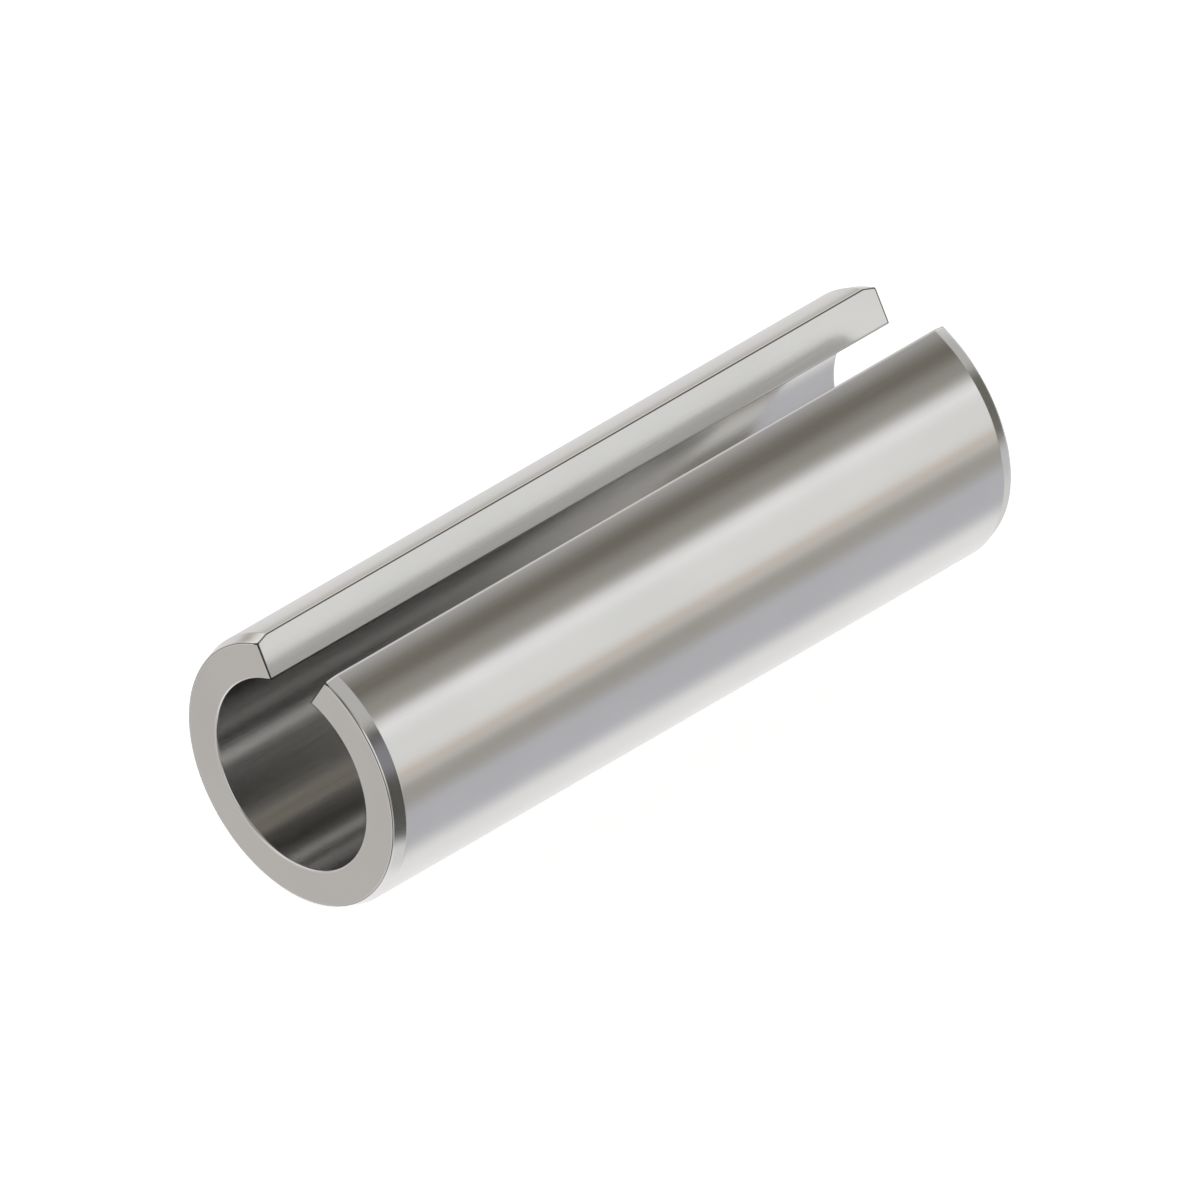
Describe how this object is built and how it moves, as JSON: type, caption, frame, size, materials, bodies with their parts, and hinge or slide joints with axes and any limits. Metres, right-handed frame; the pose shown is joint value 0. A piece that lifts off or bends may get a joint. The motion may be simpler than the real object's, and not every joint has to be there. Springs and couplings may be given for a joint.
{
  "type": "slotted spring pin",
  "caption": "Hollow pin rolled from spring steel strip, with a flared slot along its whole length and a coned lead at each end, driven into a drilled hole where it grips by its own spring.",
  "frame": {"origin": "on the pin's axis, at mid-length", "axes": "X along the axis; +Z through the middle of the slot, which opens upwards"},
  "size_m": [0.04, 0.0136, 0.0132],
  "materials": {
    "spring_steel": "satin bright"
  },
  "bodies": {
    "root": {"spring_pin": "spring_steel"}
  },
  "joints": []
}
